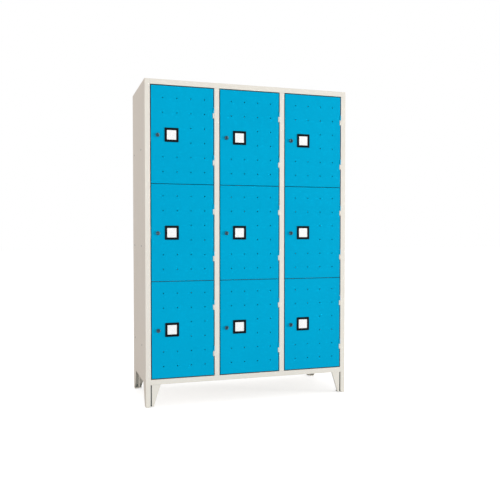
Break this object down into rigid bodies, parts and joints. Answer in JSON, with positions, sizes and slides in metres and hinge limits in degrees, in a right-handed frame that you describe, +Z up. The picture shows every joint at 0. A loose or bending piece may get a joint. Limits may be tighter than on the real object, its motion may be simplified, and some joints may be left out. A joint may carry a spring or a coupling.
{
  "type": "coin operated locker",
  "caption": "Free-standing sheet steel locker cabinet on corner feet with perforated hinged doors, each with a coin lock and a number holder.",
  "frame": {"origin": "on the floor, under the middle of the overall box", "axes": "+X to the right seen from the front, +Y from the doors towards the back panel, +Z up"},
  "size_m": [1.2, 0.508, 1.805],
  "materials": {
    "frame_paint": "satin",
    "door_paint": "satin",
    "holder_plastic": "satin",
    "card_stock": "matte",
    "clear_window": "gloss",
    "glide_plastic": "satin",
    "lock_housing": "matte",
    "lock_metal": "satin",
    "plug_metal": "satin",
    "zinc_steel": "satin",
    "buffer_rubber": "matte"
  },
  "bodies": {
    "root": {"side_panel_left": "frame_paint", "side_panel_right": "frame_paint", "top_panel": "frame_paint", "bottom_panel": "frame_paint", "back_panel": "frame_paint", "partitions": "frame_paint", "front_posts": "frame_paint", "shelves": "frame_paint", "feet": "frame_paint", "foot_glides": "glide_plastic", "foot_bolts": "zinc_steel", "frame_hinge_eyes": "frame_paint", "hinge_pins": "zinc_steel", "strike_plates": "zinc_steel", "door_buffers": "buffer_rubber"},
    "door_1": {"door_panel_1": "door_paint", "number_holder_1": "holder_plastic", "lock_case_1": "lock_housing", "lock_barrel_1": "lock_metal"},
    "lock_plug_1": {"lock_plug_1": "plug_metal"},
    "door_2": {"door_panel_2": "door_paint", "number_holder_2": "holder_plastic", "lock_case_2": "lock_housing", "lock_barrel_2": "lock_metal"},
    "lock_plug_2": {"lock_plug_2": "plug_metal"},
    "door_3": {"door_panel_3": "door_paint", "number_holder_3": "holder_plastic", "lock_case_3": "lock_housing", "lock_barrel_3": "lock_metal"},
    "lock_plug_3": {"lock_plug_3": "plug_metal"},
    "door_4": {"door_panel_4": "door_paint", "number_holder_4": "holder_plastic", "lock_case_4": "lock_housing", "lock_barrel_4": "lock_metal"},
    "lock_plug_4": {"lock_plug_4": "plug_metal"},
    "door_5": {"door_panel_5": "door_paint", "number_holder_5": "holder_plastic", "lock_case_5": "lock_housing", "lock_barrel_5": "lock_metal"},
    "lock_plug_5": {"lock_plug_5": "plug_metal"},
    "door_6": {"door_panel_6": "door_paint", "number_holder_6": "holder_plastic", "lock_case_6": "lock_housing", "lock_barrel_6": "lock_metal"},
    "lock_plug_6": {"lock_plug_6": "plug_metal"},
    "door_7": {"door_panel_7": "door_paint", "number_holder_7": "holder_plastic", "lock_case_7": "lock_housing", "lock_barrel_7": "lock_metal"},
    "lock_plug_7": {"lock_plug_7": "plug_metal"},
    "door_8": {"door_panel_8": "door_paint", "number_holder_8": "holder_plastic", "lock_case_8": "lock_housing", "lock_barrel_8": "lock_metal"},
    "lock_plug_8": {"lock_plug_8": "plug_metal"},
    "door_9": {"door_panel_9": "door_paint", "number_holder_9": "holder_plastic", "lock_case_9": "lock_housing", "lock_barrel_9": "lock_metal"},
    "lock_plug_9": {"lock_plug_9": "plug_metal"}
  },
  "joints": [
    {"name": "door_1_hinge", "type": "hinge", "parent": "root", "child": "door_1", "pos_m": [-0.21417, -0.244, 1.50333], "axis": [0, 0, 1], "range_deg": [0, 110]},
    {"name": "lock_1_turn", "type": "hinge", "parent": "door_1", "child": "lock_plug_1", "pos_m": [-0.5295, -0.254, 1.50033], "axis": [0, -1, 0], "range_deg": [0, 90]},
    {"name": "door_2_hinge", "type": "hinge", "parent": "root", "child": "door_2", "pos_m": [0.17617, -0.244, 1.50333], "axis": [0, 0, 1], "range_deg": [0, 110]},
    {"name": "lock_2_turn", "type": "hinge", "parent": "door_2", "child": "lock_plug_2", "pos_m": [-0.13917, -0.254, 1.50033], "axis": [0, -1, 0], "range_deg": [0, 90]},
    {"name": "door_3_hinge", "type": "hinge", "parent": "root", "child": "door_3", "pos_m": [0.5665, -0.244, 1.50333], "axis": [0, 0, 1], "range_deg": [0, 110]},
    {"name": "lock_3_turn", "type": "hinge", "parent": "door_3", "child": "lock_plug_3", "pos_m": [0.25117, -0.254, 1.50033], "axis": [0, -1, 0], "range_deg": [0, 90]},
    {"name": "door_4_hinge", "type": "hinge", "parent": "root", "child": "door_4", "pos_m": [-0.21417, -0.244, 0.965], "axis": [0, 0, 1], "range_deg": [0, 110]},
    {"name": "lock_4_turn", "type": "hinge", "parent": "door_4", "child": "lock_plug_4", "pos_m": [-0.5295, -0.254, 0.962], "axis": [0, -1, 0], "range_deg": [0, 90]},
    {"name": "door_5_hinge", "type": "hinge", "parent": "root", "child": "door_5", "pos_m": [0.17617, -0.244, 0.965], "axis": [0, 0, 1], "range_deg": [0, 110]},
    {"name": "lock_5_turn", "type": "hinge", "parent": "door_5", "child": "lock_plug_5", "pos_m": [-0.13917, -0.254, 0.962], "axis": [0, -1, 0], "range_deg": [0, 90]},
    {"name": "door_6_hinge", "type": "hinge", "parent": "root", "child": "door_6", "pos_m": [0.5665, -0.244, 0.965], "axis": [0, 0, 1], "range_deg": [0, 110]},
    {"name": "lock_6_turn", "type": "hinge", "parent": "door_6", "child": "lock_plug_6", "pos_m": [0.25117, -0.254, 0.962], "axis": [0, -1, 0], "range_deg": [0, 90]},
    {"name": "door_7_hinge", "type": "hinge", "parent": "root", "child": "door_7", "pos_m": [-0.21417, -0.244, 0.42667], "axis": [0, 0, 1], "range_deg": [0, 110]},
    {"name": "lock_7_turn", "type": "hinge", "parent": "door_7", "child": "lock_plug_7", "pos_m": [-0.5295, -0.254, 0.42367], "axis": [0, -1, 0], "range_deg": [0, 90]},
    {"name": "door_8_hinge", "type": "hinge", "parent": "root", "child": "door_8", "pos_m": [0.17617, -0.244, 0.42667], "axis": [0, 0, 1], "range_deg": [0, 110]},
    {"name": "lock_8_turn", "type": "hinge", "parent": "door_8", "child": "lock_plug_8", "pos_m": [-0.13917, -0.254, 0.42367], "axis": [0, -1, 0], "range_deg": [0, 90]},
    {"name": "door_9_hinge", "type": "hinge", "parent": "root", "child": "door_9", "pos_m": [0.5665, -0.244, 0.42667], "axis": [0, 0, 1], "range_deg": [0, 110]},
    {"name": "lock_9_turn", "type": "hinge", "parent": "door_9", "child": "lock_plug_9", "pos_m": [0.25117, -0.254, 0.42367], "axis": [0, -1, 0], "range_deg": [0, 90]}
  ]
}
